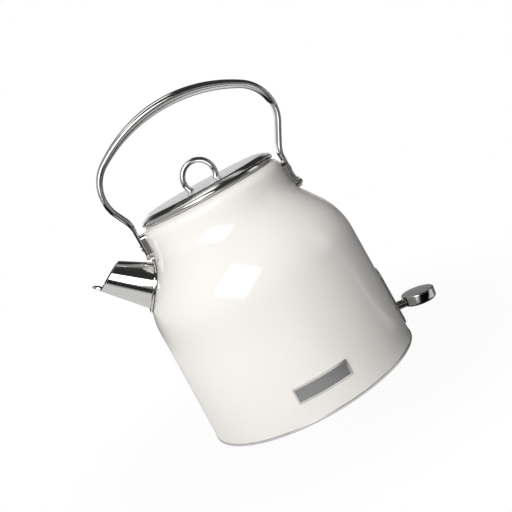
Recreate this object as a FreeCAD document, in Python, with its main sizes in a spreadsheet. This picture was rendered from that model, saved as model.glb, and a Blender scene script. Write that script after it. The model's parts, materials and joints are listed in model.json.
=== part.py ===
"""Electric kettle with an overhead handle, as an assembly of separate pieces.

Millimetres. The origin is the centre of the standing rim, +Z is up, the spout points
along -X, the switch along +X, and the plain badge plate is on the -Y side.
"""
import FreeCAD, Part
import math
import os
import re
import Sketcher

# Driving sizes, in millimetres and degrees. Heights are above the table, places are along X,
# and a text is a formula on the others.
SIZES = {
    # vessel wall
    "body_radius": 88.0,
    "body_taper": 2.3,
    "shoulder_radius": "=body_radius - body_taper",
    "shoulder_drop": 60.2,
    "shoulder_height": "=seat_height - shoulder_drop",
    "shoulder_slope": 36.0,
    "shoulder_round": 56.0,
    "neck_step": 27.7,
    "neck_radius": "=body_radius - neck_step",
    "neck_round": 26.0,
    "seat_height": 174.8,
    "collar_round": 8.4,
    "mouth_step": 10.1,
    "mouth_radius": "=neck_radius - mouth_step",
    "mouth_depth": 8.8,
    "mouth_round": 1.4,
    "wall": 1.0,
    "hem_height": 2.2,
    "hem_lip": 0.5,
    "hem_radius": "=body_radius + hem_lip",
    "hem_width": 3.9,
    "hem_round": 0.9,
    # fits shared by several pieces
    "slide_gap": 0.3,
    "screw_gap": 0.15,
    "loose_gap": 0.05,
    # roundings shared by several pieces, as shares of a head's height or a slot's width
    "head_round": 0.6,
    "slot_round": 0.45,
    # base
    "cover_height": 3.0,
    "cover_wall": 2.0,
    "cover_rim_low": 1.0,
    "cover_rim_high": 9.0,
    "vent_count": 8,
    "vent_width": 4.0,
    "vent_length": 14.0,
    "vent_circle": 51.0,
    "post_count": 3,
    "post_inset": 22.0,
    "post_circle": "=body_radius - post_inset",
    "post_radius": 4.0,
    "post_bore_depth": 12.0,
    "base_screw_radius": 1.5,
    "base_screw_length": 11.0,
    "base_head_radius": 3.2,
    "base_head_height": 1.7,
    # heater
    "pan_height": 27.0,
    "pan_wall": 1.2,
    "pan_rim": 6.0,
    "pan_round": 3.0,
    "weld_gap": 0.2,
    "spreader_radius": 40.5,
    "spreader_height": 3.0,
    "element_circle": 36.0,
    "element_rod": 4.0,
    "element_gap": 25.0,
    "tail_radius": 1.5,
    "tail_length": 7.0,
    # control and power connector
    "control_radius": 28.0,
    "control_low": 10.0,
    "control_head_gap": 1.4,
    "control_round": 1.5,
    "socket_radius": 16.5,
    "socket_wall": 3.3,
    "socket_low": 1.6,
    "socket_depth": 13.4,
    "control_screw_circle": 24.0,
    "control_screw_radius": 1.5,
    "control_screw_bite": 2.0,
    "control_head_radius": 2.8,
    "control_head_height": 1.8,
    "disc_radius": 8.0,
    "disc_wall": 0.5,
    "disc_place": 11.0,
    "earth_pin_radius": 3.2,
    "earth_pin_low": 3.5,
    "inner_contact_radius": 8.5,
    "outer_contact_radius": 13.0,
    "contact_wall": 1.0,
    "contact_low": 5.0,
    # steam tube
    "tube_inset": 30.5,
    "tube_place": "=body_radius - tube_inset",
    "tube_radius": 4.5,
    "tube_wall": 0.9,
    "tube_end_drop": 3.5,
    "tube_low": "=pan_height - tube_end_drop",
    "tube_drop": 36.8,
    "tube_high": "=seat_height - tube_drop",
    "grommet_radius": 7.0,
    "grommet_neck": 6.0,
    "grommet_lip": 1.6,
    # switch
    "pivot_inset": 14.0,
    "pivot_place": "=body_radius - pivot_inset",
    "pivot_drop": 6.4,
    "pivot_height": "=pan_height - pivot_drop",
    "pivot_radius": 1.5,
    "pivot_head_radius": 2.6,
    "pivot_head_height": 1.2,
    "bracket_width": 23.0,
    "bracket_wall": 2.4,
    "bracket_inset": 22.0,
    "bracket_start": "=body_radius - bracket_inset",
    "bracket_length": 14.0,
    "bracket_drop": 14.0,
    "tab_wall": 1.5,
    "tab_bore": 3.0,
    "steam_disc_radius": 6.0,
    "hub_radius": 3.8,
    "hub_side_gap": 0.6,
    "arm_reach": 5.2,
    "arm_width": 6.0,
    "arm_wall": 3.0,
    "lever_droop": 6.6,
    "stem_radius": 3.5,
    "stem_length": 24.5,
    "tenon_radius": 2.2,
    "tenon_length": 7.5,
    "paddle_radius": 13.8,
    "paddle_place": 36.0,
    "paddle_rise": 0.9,
    "paddle_wall": 9.0,
    "paddle_top_round": 1.0,
    "paddle_low_round": 2.4,
    "detent_wall": 0.4,
    "detent_width": 7.0,
    "plate_low": 4.5,
    "plate_high": 56.0,
    "plate_width": 22.0,
    "plate_wall": 1.8,
    "plate_round": 8.0,
    "slot_below": 9.8,
    "slot_low": "=pivot_height - slot_below",
    "slot_above": 3.6,
    "slot_high": "=pivot_height + slot_above",
    "slot_width": 8.8,
    # spout
    "spout_inset": 16.7,
    "spout_root_place": "=body_radius - spout_inset",
    "spout_drop": 43.6,
    "spout_root_height": "=seat_height - spout_drop",
    "spout_angle": 41.1,
    "spout_root_radius": 18.3,
    "spout_taper": 8.7,
    "spout_wall": 1.2,
    "spout_back": 16.0,
    "spout_reach": 52.0,
    "spout_mouth_reach": 26.75,
    "mouth_place": "=spout_root_place + spout_mouth_reach",
    "spout_mouth_rise": 24.1,
    "mouth_height": "=spout_root_height + spout_mouth_rise",
    "mouth_tilt": 59.7,
    "lip_length": 7.0,
    "lip_half_width": 5.5,
    "lip_drop": 13.0,
    "spout_flange": 2.6,
    "flange_wall": 1.1,
    "spout_seal_wall": 0.8,
    "pour_hole_radius": 14.0,
    "strainer_radius": 19.0,
    "strainer_rim": 1.6,
    "strainer_depth": 7.0,
    "strainer_wall": 1.0,
    "strainer_bar": 1.6,
    "strainer_gap": 2.6,
    # handle
    "saddle_wall": 2.7,
    "saddle_width": 14.0,
    "saddle_inset": 0.6,
    "saddle_round": 4.0,
    "front_saddle_drop": 3.3,
    "front_saddle_high": "=seat_height - front_saddle_drop",
    "rear_saddle_drop": 7.3,
    "rear_saddle_high": "=seat_height - rear_saddle_drop",
    "strap_wall": 2.8,
    "strap_width": 15.0,
    "strap_round": 5.0,
    "front_strap_drop": 23.8,
    "front_strap_low": "=seat_height - front_strap_drop",
    "rear_strap_drop": 31.8,
    "rear_strap_low": "=seat_height - rear_strap_drop",
    "front_tube_drop": 1.8,
    "front_tube_low": "=seat_height - front_tube_drop",
    "rear_tube_drop": 5.8,
    "rear_tube_low": "=seat_height - rear_tube_drop",
    "tube_end_wall": 5.0,
    "arch_wall": 9.0,
    "arch_width": 17.0,
    "front_bend_rise": 5.2,
    "front_bend_height": "=seat_height + front_bend_rise",
    "rear_bend_drop": 0.3,
    "rear_bend_height": "=seat_height - rear_bend_drop",
    "bend_round": 18.0,
    "front_corner_reach": 21.4,
    "front_corner_place": "=neck_radius + front_corner_reach",
    "front_corner_rise": 42.5,
    "front_corner_height": "=seat_height + front_corner_rise",
    "rear_corner_reach": 27.0,
    "rear_corner_place": "=neck_radius + rear_corner_reach",
    "rear_corner_rise": 47.1,
    "rear_corner_height": "=seat_height + rear_corner_rise",
    "corner_round": 29.5,
    "peak_place": 0.5,
    "peak_rise": 94.2,
    "peak_height": "=seat_height + peak_rise",
    "crown_straight": 2.2,
    "handle_screw_radius": 1.9,
    "handle_head_radius": 2.7,
    "handle_head_height": 1.0,
    "low_screw_rise": 0.2,
    "front_screw_drop": 13.8,
    "front_screw_height": "=seat_height - front_screw_drop",
    "rear_screw_drop": 14.3,
    "rear_screw_height": "=seat_height - rear_screw_drop",
    "rear_low_screw_angle": 28.0,
    "washer_radius": 4.2,
    "washer_wall": 0.8,
    "nut_radius": 3.9,
    "nut_height": 3.0,
    # lid
    "lid_inset": 3.0,
    "lid_radius": "=neck_radius - lid_inset",
    "lid_height": 6.8,
    "lid_gap": 0.3,
    "lid_wall": 0.9,
    "lid_flat_inset": 7.3,
    "lid_bevel": 27.0,
    "lid_top_round": 10.0,
    "lid_edge_round": 3.0,
    "lid_low_round": 1.1,
    "lid_curl": 3.3,
    "plug_gap": 1.6,
    "plug_radius": "=mouth_radius - plug_gap",
    "plug_depth": 12.1,
    "plug_wall": 0.8,
    "plug_round": 2.0,
    "plug_flange": 7.0,
    "lid_seal_height": 3.6,
    "lid_seal_low": 6.2,
    "ring_radius": 12.95,
    "ring_wire": 2.25,
    "ring_rise": 6.6,
    "stud_radius": 1.5,
    "stud_length": 3.2,
    "ring_nut_radius": 3.2,
    "ring_nut_height": 2.2,
    # badge plate
    "badge_width": 44.4,
    "badge_low": 17.6,
    "badge_high": 30.2,
    "badge_wall": 1.3,
    "badge_border": 1.5,
    "badge_recess": 0.6,
    "badge_round": 1.0,
}

NECK_HEIGHT = "(shoulder_height + (shoulder_radius - neck_radius) / tan(shoulder_slope))"
LID_LOW = "(seat_height + lid_gap)"
LID_TOP = "(seat_height + lid_gap + lid_height)"
LID_EDGE = "(%s - lid_flat_inset * tan(lid_bevel))" % LID_TOP
CONTROL_TOP = "(pan_height - spreader_height - control_head_gap)"
FAR = "(4 * body_radius)"
ABOUT_X = (1, 0, 0)
ABOUT_Y = (0, 1, 0)
ABOUT_Z = (0, 0, 1)

doc = FreeCAD.newDocument("kettle")
sheet = doc.addObject("Spreadsheet::Sheet", "Sizes")
for row, (alias, number) in enumerate(SIZES.items(), 1):
    sheet.set("A%d" % row, alias)
    sheet.set("B%d" % row, str(number))
    sheet.setAlias("B%d" % row, alias)
doc.recompute()

pieces = []


def cell(text):
    """An expression whose size names point at the cells of the sheet."""
    return re.sub(r"[a-z_]+", lambda word: ("Sizes." if word[0] in SIZES else "") + word[0], str(text))


def value(text):
    return float(sheet.evalExpression(cell(text)))


def bind(thing, **texts):
    for name, text in texts.items():
        thing.setExpression(name, cell(text))
    return thing


def place(thing, x=0, y=0, z=0, axis=None, angle=0):
    """Put a piece at a bound place, turned about an axis by a bound angle."""
    if axis:
        turn = FreeCAD.Rotation(FreeCAD.Vector(*axis), value(angle))
        thing.Placement = FreeCAD.Placement(FreeCAD.Vector(), turn)
        thing.setExpression("Placement.Rotation.Angle", cell(angle))
    for name, text in zip("xyz", (x, y, z)):
        thing.setExpression("Placement.Base." + name, cell(text))
    return thing


def keep(label, thing):
    """Name a finished piece, which is then written to its own file."""
    thing.Label = label
    pieces.append(thing)
    return thing


def rounded(corners, closed):
    """The corners of an outline as points, its straight runs, and the arc at each rounded corner."""
    points = [FreeCAD.Vector(value(x), value(y), 0) for x, y, _ in corners]
    count = len(points)
    entry = list(points)
    leave = list(points)
    arcs = [None] * count
    for i, corner in enumerate(corners):
        radius = value(corner[2])
        if radius <= 0:
            continue
        back = (points[i - 1] - points[i]).normalize()
        ahead = (points[(i + 1) % count] - points[i]).normalize()
        half = back.getAngle(ahead) / 2
        entry[i] = points[i] + back * (radius / math.tan(half))
        leave[i] = points[i] + ahead * (radius / math.tan(half))
        middle = points[i] + (back + ahead).normalize() * (radius / math.sin(half))
        nearest = middle + (points[i] - middle).normalize() * radius
        arcs[i] = Part.Arc(entry[i], nearest, leave[i])
    runs = [Part.LineSegment(leave[i], entry[(i + 1) % count]) for i in range(count if closed else count - 1)]
    return points, runs, arcs


def sketch(holder, name, role=None, lift=0):
    """An empty sketch on one of a body's own planes, or free in the document."""
    if role is None:
        return doc.addObject("Sketcher::SketchObject", name)
    drawing = holder.newObject("Sketcher::SketchObject", name)
    plane = next(feature for feature in holder.Origin.OriginFeatures if feature.Role == role)
    drawing.AttachmentSupport = [(plane, "")]
    drawing.MapMode = "FlatFace"
    drawing.setExpression("AttachmentOffset.Base.z", cell(lift))
    return drawing


def pin_point(drawing, geometry, end, x, y):
    """Tie a point of a sketch to a bound place."""
    for kind, text in (("DistanceX", x), ("DistanceY", y)):
        index = drawing.addConstraint(Sketcher.Constraint(kind, -1, 1, geometry, end, value(text)))
        drawing.setExpression("Constraints[%d]" % index, cell(text))


def rounding_end(corner, toward, other):
    """The bound place on one edge where the rounding of a corner begins."""
    x, y, radius = corner
    edge = ["((%s) - (%s))" % pair for pair in zip(toward, (x, y))]
    mate = ["((%s) - (%s))" % pair for pair in zip(other, (x, y))]
    long = "hypot(%s; %s)" % tuple(edge)
    dot = "(%s * %s + %s * %s)" % (edge[0], mate[0], edge[1], mate[1])
    cross = "abs(%s * %s - %s * %s)" % (edge[0], mate[1], edge[1], mate[0])
    share = "(%s) * (hypot(%s; %s) + %s / %s) / %s" % (radius, mate[0], mate[1], dot, long, cross)
    return ["%s + %s * %s" % (start, step, share) for start, step in zip((x, y), edge)]


def outline(drawing, corners):
    """A closed outline through corners (across, up, rounding), every one bound to the sheet."""
    points, runs, arcs = rounded(corners, True)
    lines = [drawing.addGeometry(run) for run in runs]
    for i, corner in enumerate(corners):
        before = lines[i - 1]
        after = lines[i]
        if arcs[i] is None:
            drawing.addConstraint(Sketcher.Constraint("Coincident", before, 2, after, 1))
            pin_point(drawing, after, 1, corner[0], corner[1])
            continue
        back = corners[i - 1]
        ahead = corners[(i + 1) % len(corners)]
        pin_point(drawing, before, 2, *rounding_end(corner, back[:2], ahead[:2]))
        pin_point(drawing, after, 1, *rounding_end(corner, ahead[:2], back[:2]))
        arc = drawing.addGeometry(arcs[i])
        turn = (points[i] - points[i - 1]).cross(points[(i + 1) % len(points)] - points[i])
        first = 1 if turn.z > 0 else 2
        drawing.addConstraint(Sketcher.Constraint("Coincident", arc, first, before, 2))
        drawing.addConstraint(Sketcher.Constraint("Coincident", arc, 3 - first, after, 1))
        index = drawing.addConstraint(Sketcher.Constraint("Radius", arc, value(corner[2])))
        drawing.setExpression("Constraints[%d]" % index, cell(corner[2]))
    return drawing


def box_corners(low_x, high_x, low_y, high_y, radius=0):
    places = ((low_x, low_y), (high_x, low_y), (high_x, high_y), (low_x, high_y))
    return [(x, y, radius) for x, y in places]


def turned(name, corners):
    """A solid of revolution about the upright axis from corners (radius, height, rounding)."""
    body = doc.addObject("PartDesign::Body", name)
    drawing = outline(sketch(body, name + "_profile", "XZ_Plane"), corners)
    turn = body.newObject("PartDesign::Revolution", name + "_turn")
    turn.Profile = drawing
    turn.ReferenceAxis = (drawing, ["V_Axis"])
    turn.Angle = 360
    return body


def pressed(name, role, corners, length, start=0, symmetric=False):
    """A solid pressed square out of a plane from its outline."""
    body = doc.addObject("PartDesign::Body", name)
    drawing = outline(sketch(body, name + "_profile", role, start), corners)
    pad = body.newObject("PartDesign::Pad", name + "_pad")
    pad.Profile = drawing
    pad.SideType = "Symmetric" if symmetric else "One side"
    bind(pad, Length=length)
    return body


def rod(name, radius, length, x=0, y=0, z=0, axis=None, angle=0):
    thing = bind(doc.addObject("Part::Cylinder", name), Radius=radius, Height=length)
    return place(thing, x, y, z, axis, angle)


def fuse(name, *things):
    thing = doc.addObject("Part::MultiFuse", name)
    thing.Shapes = list(things)
    return thing


def cut(name, base, *tools):
    thing = doc.addObject("Part::Cut", name)
    thing.Base = base
    thing.Tool = tools[0] if len(tools) == 1 else fuse(name + "_tools", *tools)
    return thing


def common(name, base, tool):
    thing = doc.addObject("Part::Common", name)
    thing.Base = base
    thing.Tool = tool
    return thing


def group(name, things):
    thing = doc.addObject("Part::Compound", name)
    thing.Links = list(things)
    return thing


def around(count, circle):
    """Bound places on a circle, one step apart, the middle one on the spout side."""
    steps = int(value(count))
    for i in range(steps):
        angle = "(180 + 360 * %d / %s)" % (i, count)
        yield "%s * cos(%s)" % (circle, angle), "%s * sin(%s)" % (circle, angle)


# Vessel: one drawn steel wall with a shoulder, a waisted neck and a turned-down mouth.
def vessel(offset):
    """Corners of the vessel's outside from the hem to the collar, moved out by an offset."""
    lift = "((%s) * tan(shoulder_slope / 2))" % offset
    return [
        ("body_radius + (%s)" % offset, "hem_height", 0),
        ("shoulder_radius + (%s)" % offset, "shoulder_height + " + lift, "shoulder_round + (%s)" % offset),
        ("neck_radius + (%s)" % offset, NECK_HEIGHT + " + " + lift, "neck_round - (%s)" % offset),
        ("neck_radius + (%s)" % offset, "seat_height + (%s)" % offset, "collar_round + (%s)" % offset),
    ]


def wall_inside(height):
    """Inner radius of the vessel's lower wall at a height."""
    return (
        "(body_radius - wall - (body_radius - shoulder_radius)"
        " * (%s - hem_height) / (shoulder_height - hem_height))" % height
    )


def skin(name, offset):
    """The vessel filled to its axis and moved out by an offset, to trim what sits on it."""
    top = "seat_height + (%s)" % offset
    return turned(name, vessel(offset) + [("0", top, 0), ("0", "hem_height", 0)])


outer_skin = skin("outer_skin", "0")
inner_skin = skin("inner_skin", "0 - wall - loose_gap")

mouth = [
    ("mouth_radius", "seat_height", "mouth_round"),
    ("mouth_radius", "seat_height - mouth_depth", 0),
    ("mouth_radius + wall", "seat_height - mouth_depth", 0),
    ("mouth_radius + wall", "seat_height - wall", 0),
]
body_blank = turned("body_blank", vessel("0") + mouth + vessel("0 - wall")[::-1])

# Spout: a tapered tube on the shoulder, with a flange on a thin seal and a pouring lip.
SPOUT_TURN = "spout_angle - 90"


def spout_cone(name, extra):
    """The spout's cone with its radius changed by an amount, from inside the wall outwards."""
    cone = doc.addObject("Part::Cone", name)
    bind(
        cone,
        Radius1="spout_root_radius + spout_back * tan(spout_taper) + (%s)" % extra,
        Radius2="spout_root_radius - spout_reach * tan(spout_taper) + (%s)" % extra,
        Height="spout_back + spout_reach",
    )
    x = "0 - spout_root_place + spout_back * cos(spout_angle)"
    z = "spout_root_height - spout_back * sin(spout_angle)"
    return place(cone, x, 0, z, ABOUT_Y, SPOUT_TURN)


mouth_cut = bind(doc.addObject("Part::Box", "mouth_cut"), Length=FAR, Width=FAR, Height=FAR)
place(
    mouth_cut,
    "0 - mouth_place - 2 * body_radius * sin(mouth_tilt)",
    "0 - 2 * body_radius",
    "mouth_height - 2 * body_radius * cos(mouth_tilt)",
    ABOUT_Y,
    "mouth_tilt - 90",
)
LIP_LINE = "(spout_angle + spout_taper)"
lip_outline = doc.addObject("Part::Ellipse", "lip_outline")
bind(lip_outline, MajorRadius="lip_length", MinorRadius="lip_half_width")
lip_guard = doc.addObject("Part::Extrusion", "lip_guard")
lip_guard.Base = lip_outline
lip_guard.DirMode = "Custom"
lip_guard.Dir = FreeCAD.Vector(0, 0, 1)
lip_guard.Solid = True
lip_guard.Symmetric = True
bind(lip_guard, LengthFwd="spout_root_radius")
place(
    lip_guard,
    "0 - mouth_place - lip_drop * sin(mouth_tilt)",
    0,
    "mouth_height - lip_drop * cos(mouth_tilt)",
    ABOUT_Y,
    LIP_LINE,
)
seal_skin = skin("seal_skin", "spout_seal_wall")
flange_skin = skin("flange_skin", "spout_seal_wall + flange_wall")
flange_blank = common("flange_blank", spout_cone("flange_cone", "spout_flange"), flange_skin)
spout_blank = fuse("spout_blank", spout_cone("spout_outside", "0"), flange_blank)
spout_bore = spout_cone("spout_bore", "0 - spout_wall")
mouth_tool = cut("mouth_tool", mouth_cut, lip_guard)
keep("spout", cut("spout", spout_blank, seal_skin, spout_bore, mouth_tool))
seal_blank = common("seal_blank", spout_cone("seal_cone", "spout_flange - slide_gap"), seal_skin)
keep("spout_seal", cut("spout_seal", seal_blank, outer_skin, spout_cone("seal_bore", "0 - spout_wall")))

# Pouring hole through the wall, in line with the spout.
pour_hole = rod(
    "pour_hole",
    "pour_hole_radius",
    "spout_back + spout_back",
    "0 - spout_root_place + spout_back * cos(spout_angle)",
    0,
    "spout_root_height - spout_back * sin(spout_angle)",
    ABOUT_Y,
    SPOUT_TURN,
)

# Strainer: a slotted steel cup spot-welded behind the pouring hole.
strainer_body = doc.addObject("PartDesign::Body", "strainer_body")
rim_drawing = sketch(strainer_body, "strainer_rim_profile", "XY_Plane")
for radius in ("strainer_radius", "strainer_radius - strainer_rim"):
    ring = rim_drawing.addGeometry(Part.Circle(FreeCAD.Vector(), FreeCAD.Vector(0, 0, 1), value(radius)))
    rim_drawing.addConstraint(Sketcher.Constraint("Coincident", ring, 3, -1, 1))
    index = rim_drawing.addConstraint(Sketcher.Constraint("Radius", ring, value(radius)))
    rim_drawing.setExpression("Constraints[%d]" % index, cell(radius))
rim_pad = strainer_body.newObject("PartDesign::Pad", "strainer_rim_pad")
rim_pad.Profile = rim_drawing
bind(rim_pad, Length="3 * strainer_depth")
SLOT_COUNT = int(value("2 * (strainer_radius - strainer_rim) / (strainer_bar + strainer_gap)"))
strainer_disc = rod("strainer_disc", "strainer_radius", "strainer_wall")
slots = []
for i in range(SLOT_COUNT):
    middle = "((%d - %d / 2 + 0.5) * (strainer_bar + strainer_gap))" % (i, SLOT_COUNT)
    half = "sqrt(pow(strainer_radius - 2 * strainer_rim; 2) - pow(%s; 2))" % middle
    slot = doc.addObject("Part::Box", "strainer_slot_%d" % i)
    bind(slot, Length="2 * " + half, Width="strainer_gap", Height="3 * strainer_wall")
    slots.append(place(slot, "0 - " + half, middle + " - strainer_gap / 2", "0 - strainer_wall"))
strainer_floor = cut("strainer_floor", strainer_disc, *slots)
strainer_cup = fuse("strainer_cup", strainer_body, strainer_floor)
place(
    strainer_cup,
    "0 - spout_root_place + strainer_depth * sin(90 - shoulder_slope)",
    0,
    "spout_root_height - strainer_depth * cos(90 - shoulder_slope)",
    ABOUT_Y,
    "shoulder_slope - 90",
)
keep("spout_strainer", common("spout_strainer", strainer_cup, inner_skin))

# Handle: a flat-oval steel tube bent to an arch, with a strap left at each end.
STRAP_OUT = "(neck_radius + saddle_wall + strap_wall)"
TUBE_PLACE = "(neck_radius + saddle_wall + strap_wall - tube_end_wall / 2)"


def neck_line(side, offset, high):
    """Two bound lines beside the neck: down the collar and out along the shoulder's slope."""
    lift = "((%s) * tan(shoulder_slope / 2))" % offset
    corner = NECK_HEIGHT + " + " + lift
    return [
        ("%s * (neck_radius + (%s))" % (side, offset), high, 0),
        ("%s * (neck_radius + (%s))" % (side, offset), corner, "neck_round - (%s)" % offset),
        (
            "%s * (neck_radius + (%s) + neck_round * sin(shoulder_slope))" % (side, offset),
            "%s - neck_round * cos(shoulder_slope)" % corner,
            0,
        ),
    ]


def strap(end, side, low, high):
    """One end strap, with its lower corners rounded."""
    near = neck_line(side, "saddle_wall", high)
    far = neck_line(side, "saddle_wall + strap_wall", high)
    profile = near + far[::-1] if side == "1" else far + near[::-1]
    blank = pressed(end + "_strap_blank", "XZ_Plane", profile, "strap_width", 0, True)
    trim_corners = [
        ("0 - strap_width / 2", low, "strap_round"),
        ("strap_width / 2", low, "strap_round"),
        ("strap_width / 2", "2 * " + high, 0),
        ("0 - strap_width / 2", "2 * " + high, 0),
    ]
    trim = pressed(end + "_strap_trim", "YZ_Plane", trim_corners, FAR, "0 - 2 * body_radius")
    return common(end + "_strap", blank, trim)


def saddle(end, side, low, high):
    """The block between a strap and the neck."""
    far = neck_line(side, "saddle_wall", high)
    inner = "%s * mouth_radius" % side
    profile = far + [(inner, far[2][1], 0), (inner, high, 0)]
    blank = pressed(end + "_saddle_blank", "XZ_Plane", profile, "saddle_width", 0, True)
    trim_corners = [
        ("0 - saddle_width / 2", low, "saddle_round"),
        ("saddle_width / 2", low, "saddle_round"),
        ("saddle_width / 2", high, "saddle_round"),
        ("0 - saddle_width / 2", high, "saddle_round"),
    ]
    trim = pressed(end + "_saddle_trim", "YZ_Plane", trim_corners, FAR, "0 - 2 * body_radius")
    return cut(end + "_saddle_fit", common(end + "_saddle_trimmed", blank, trim), outer_skin)


# The arch's rounded sides as a share of its wall, how sharply it swells, and its number of sections.
SIDE_SHARE = 0.48
SWELL_POWER = 4
SECTION_COUNT = 33


def flat_oval(centre, along, wall, width):
    """A flat-oval section square to a direction in the XZ plane."""
    across = FreeCAD.Vector(0, 1, 0)
    up = along.cross(across).normalize()
    radius = SIDE_SHARE * wall
    points = []
    for y, z in ((-1, -1), (1, -1), (1, 1), (-1, 1)):
        points.append((y * width / 2, z * wall / 2))
    edges = []
    bend = radius * (1 - math.sqrt(0.5))
    for i, (y, z) in enumerate(points):
        sy = math.copysign(1, y)
        sz = math.copysign(1, z)
        side_in = (y, z - sz * radius)
        side_up = (y - sy * radius, z)
        mid = (y - sy * bend, z - sz * bend)
        ends = (side_up, side_in) if i % 2 else (side_in, side_up)
        edges.append([ends[0], mid, ends[1]])
    flat = [[centre + across * y + up * z for y, z in corner] for corner in edges]
    wire = []
    for i, (first, mid, last) in enumerate(flat):
        wire.append(Part.Arc(first, mid, last).toShape())
        wire.append(Part.LineSegment(last, flat[(i + 1) % 4][0]).toShape())
    return Part.Wire(wire)


def crown_round():
    """The rounding of the arch's peak that leaves a short straight run down to each corner."""
    peak = FreeCAD.Vector(value("peak_place"), value("peak_height"), 0)
    slopes = []
    for side, end in ((-1, "front"), (1, "rear")):
        corner = FreeCAD.Vector(side * value(end + "_corner_place"), value(end + "_corner_height"), 0)
        bend = FreeCAD.Vector(side * value(TUBE_PLACE), value(end + "_bend_height"), 0)
        slopes.append((corner - peak, (bend - corner).getAngle(peak - corner)))
    half_turn = (math.pi - slopes[0][0].getAngle(slopes[1][0])) / 2
    runs = [
        slope.Length - value("corner_round") / math.tan(angle / 2) - value("crown_straight")
        for slope, angle in slopes
    ]
    return min(runs) / math.tan(half_turn)


def arch_shape():
    """The tube of the handle, drawn along its bends through sections that swell to the top."""
    corners = [
        ("0 - " + TUBE_PLACE, "front_tube_low", 0),
        ("0 - " + TUBE_PLACE, "front_bend_height", "bend_round"),
        ("0 - front_corner_place", "front_corner_height", "corner_round"),
        ("peak_place", "peak_height", crown_round()),
        ("rear_corner_place", "rear_corner_height", "corner_round"),
        (TUBE_PLACE, "rear_bend_height", "bend_round"),
        (TUBE_PLACE, "rear_tube_low", 0),
    ]
    _, runs, arcs = rounded(corners, False)
    edges = []
    for i, run in enumerate(runs):
        if arcs[i] is not None:
            edges.append(arcs[i].toShape())
        edges.append(run.toShape())
    upright = FreeCAD.Placement(FreeCAD.Vector(), FreeCAD.Rotation(FreeCAD.Vector(1, 0, 0), 90))
    path = Part.Wire([edge.transformGeometry(upright.toMatrix()) for edge in edges])
    stations = path.discretize(Number=SECTION_COUNT)
    end_wall = value("tube_end_wall")
    end_width = value("strap_width")
    sections = []
    for i, point in enumerate(stations):
        before = stations[max(i - 1, 0)]
        after = stations[min(i + 1, len(stations) - 1)]
        along = after - before
        if i in (0, len(stations) - 1):
            along = FreeCAD.Vector(0, 0, 1 if i == 0 else -1)
        swell = math.sin(math.pi * i / (len(stations) - 1)) ** SWELL_POWER
        wall = end_wall + (value("arch_wall") - end_wall) * swell
        width = end_width + (value("arch_width") - end_width) * swell
        sections.append(flat_oval(point, along.normalize(), wall, width))
    return Part.makeLoft(sections, True, False)


arch = doc.addObject("Part::Feature", "arch")
arch.Shape = arch_shape()
front_strap = strap("front", "0 - 1", "front_strap_low", "(front_tube_low + tube_end_wall / 2)")
rear_strap = strap("rear", "1", "rear_strap_low", "(rear_tube_low + tube_end_wall / 2)")
handle_blank = fuse("handle_blank", arch, front_strap, rear_strap)
front_saddle = saddle("front", "0 - 1", "front_strap_low + saddle_inset", "front_saddle_high")
rear_saddle = saddle("rear", "1", "rear_strap_low + saddle_inset", "rear_saddle_high")

# Handle screws: low-headed screws through strap, saddle and wall, each with a seal and a nut inside.
ARC_PLACE = "(neck_radius + neck_round)"
ARC_HEIGHT = "(%s + neck_round * tan(shoulder_slope / 2))" % NECK_HEIGHT
LOW_RADIUS = "(neck_round - saddle_wall - strap_wall - low_screw_rise)"
screw_places = [
    ("front", "0 - " + STRAP_OUT, "front_screw_height", "90"),
    ("rear", STRAP_OUT, "rear_screw_height", "0 - 90"),
    (
        "rear_low",
        "%s - %s * cos(rear_low_screw_angle)" % (ARC_PLACE, LOW_RADIUS),
        "%s - %s * sin(rear_low_screw_angle)" % (ARC_HEIGHT, LOW_RADIUS),
        "0 - 90 - rear_low_screw_angle",
    ),
]
GRIP = "(saddle_wall + strap_wall + wall + low_screw_rise + screw_gap)"
screws = []
washers = []
nuts = []
holes = []
for name, x, z, turn in screw_places:
    holes.append(
        rod(name + "_screw_hole", "handle_screw_radius + screw_gap", "2 * " + GRIP, x, 0, z, ABOUT_Y, turn)
    )
    head = turned(
        name + "_handle_screw",
        [
            ("0", "0 - handle_head_height", 0),
            ("handle_head_radius", "0 - handle_head_height", "head_round * handle_head_height"),
            ("handle_head_radius", "0", 0),
            ("handle_screw_radius", "0", 0),
            ("handle_screw_radius", GRIP + " + washer_wall + nut_height - loose_gap", 0),
            ("0", GRIP + " + washer_wall + nut_height - loose_gap", 0),
        ],
    )
    screws.append(place(head, x, 0, z, ABOUT_Y, turn))
    washer = turned(
        name + "_washer",
        box_corners("handle_screw_radius + loose_gap", "washer_radius", GRIP, GRIP + " + washer_wall"),
    )
    washers.append(place(washer, x, 0, z, ABOUT_Y, turn))
    hexagon = doc.addObject("Part::Prism", name + "_hexagon")
    hexagon.Polygon = 6
    bind(hexagon, Circumradius="nut_radius", Height="nut_height")
    place(hexagon, 0, 0, GRIP + " + washer_wall")
    bore = rod(name + "_nut_bore", "handle_screw_radius + loose_gap", "3 * nut_height", 0, 0, GRIP)
    nut = cut(name + "_nut", hexagon, bore)
    nuts.append(place(nut, x, 0, z, ABOUT_Y, turn))
screw_holes = fuse("screw_holes", *holes)
keep("handle", cut("handle", handle_blank, screw_holes))
keep("front_saddle", cut("front_saddle", front_saddle, screw_holes))
keep("rear_saddle", cut("rear_saddle", rear_saddle, screw_holes))
keep("handle_screws", group("handle_screws", screws))
keep("handle_washers", group("handle_washers", washers))
keep("handle_nuts", group("handle_nuts", nuts))

# Switch opening in the wall, a little larger than the slot in its plate.
SLOT_HALF = "slot_width / 2"
slot_corners = box_corners("0 - " + SLOT_HALF, SLOT_HALF, "slot_low", "slot_high", "slot_round * slot_width")
wall_slot = pressed("wall_slot", "YZ_Plane", slot_corners, FAR)
keep("body_shell", cut("body_shell", body_blank, pour_hole, screw_holes, wall_slot))

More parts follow.
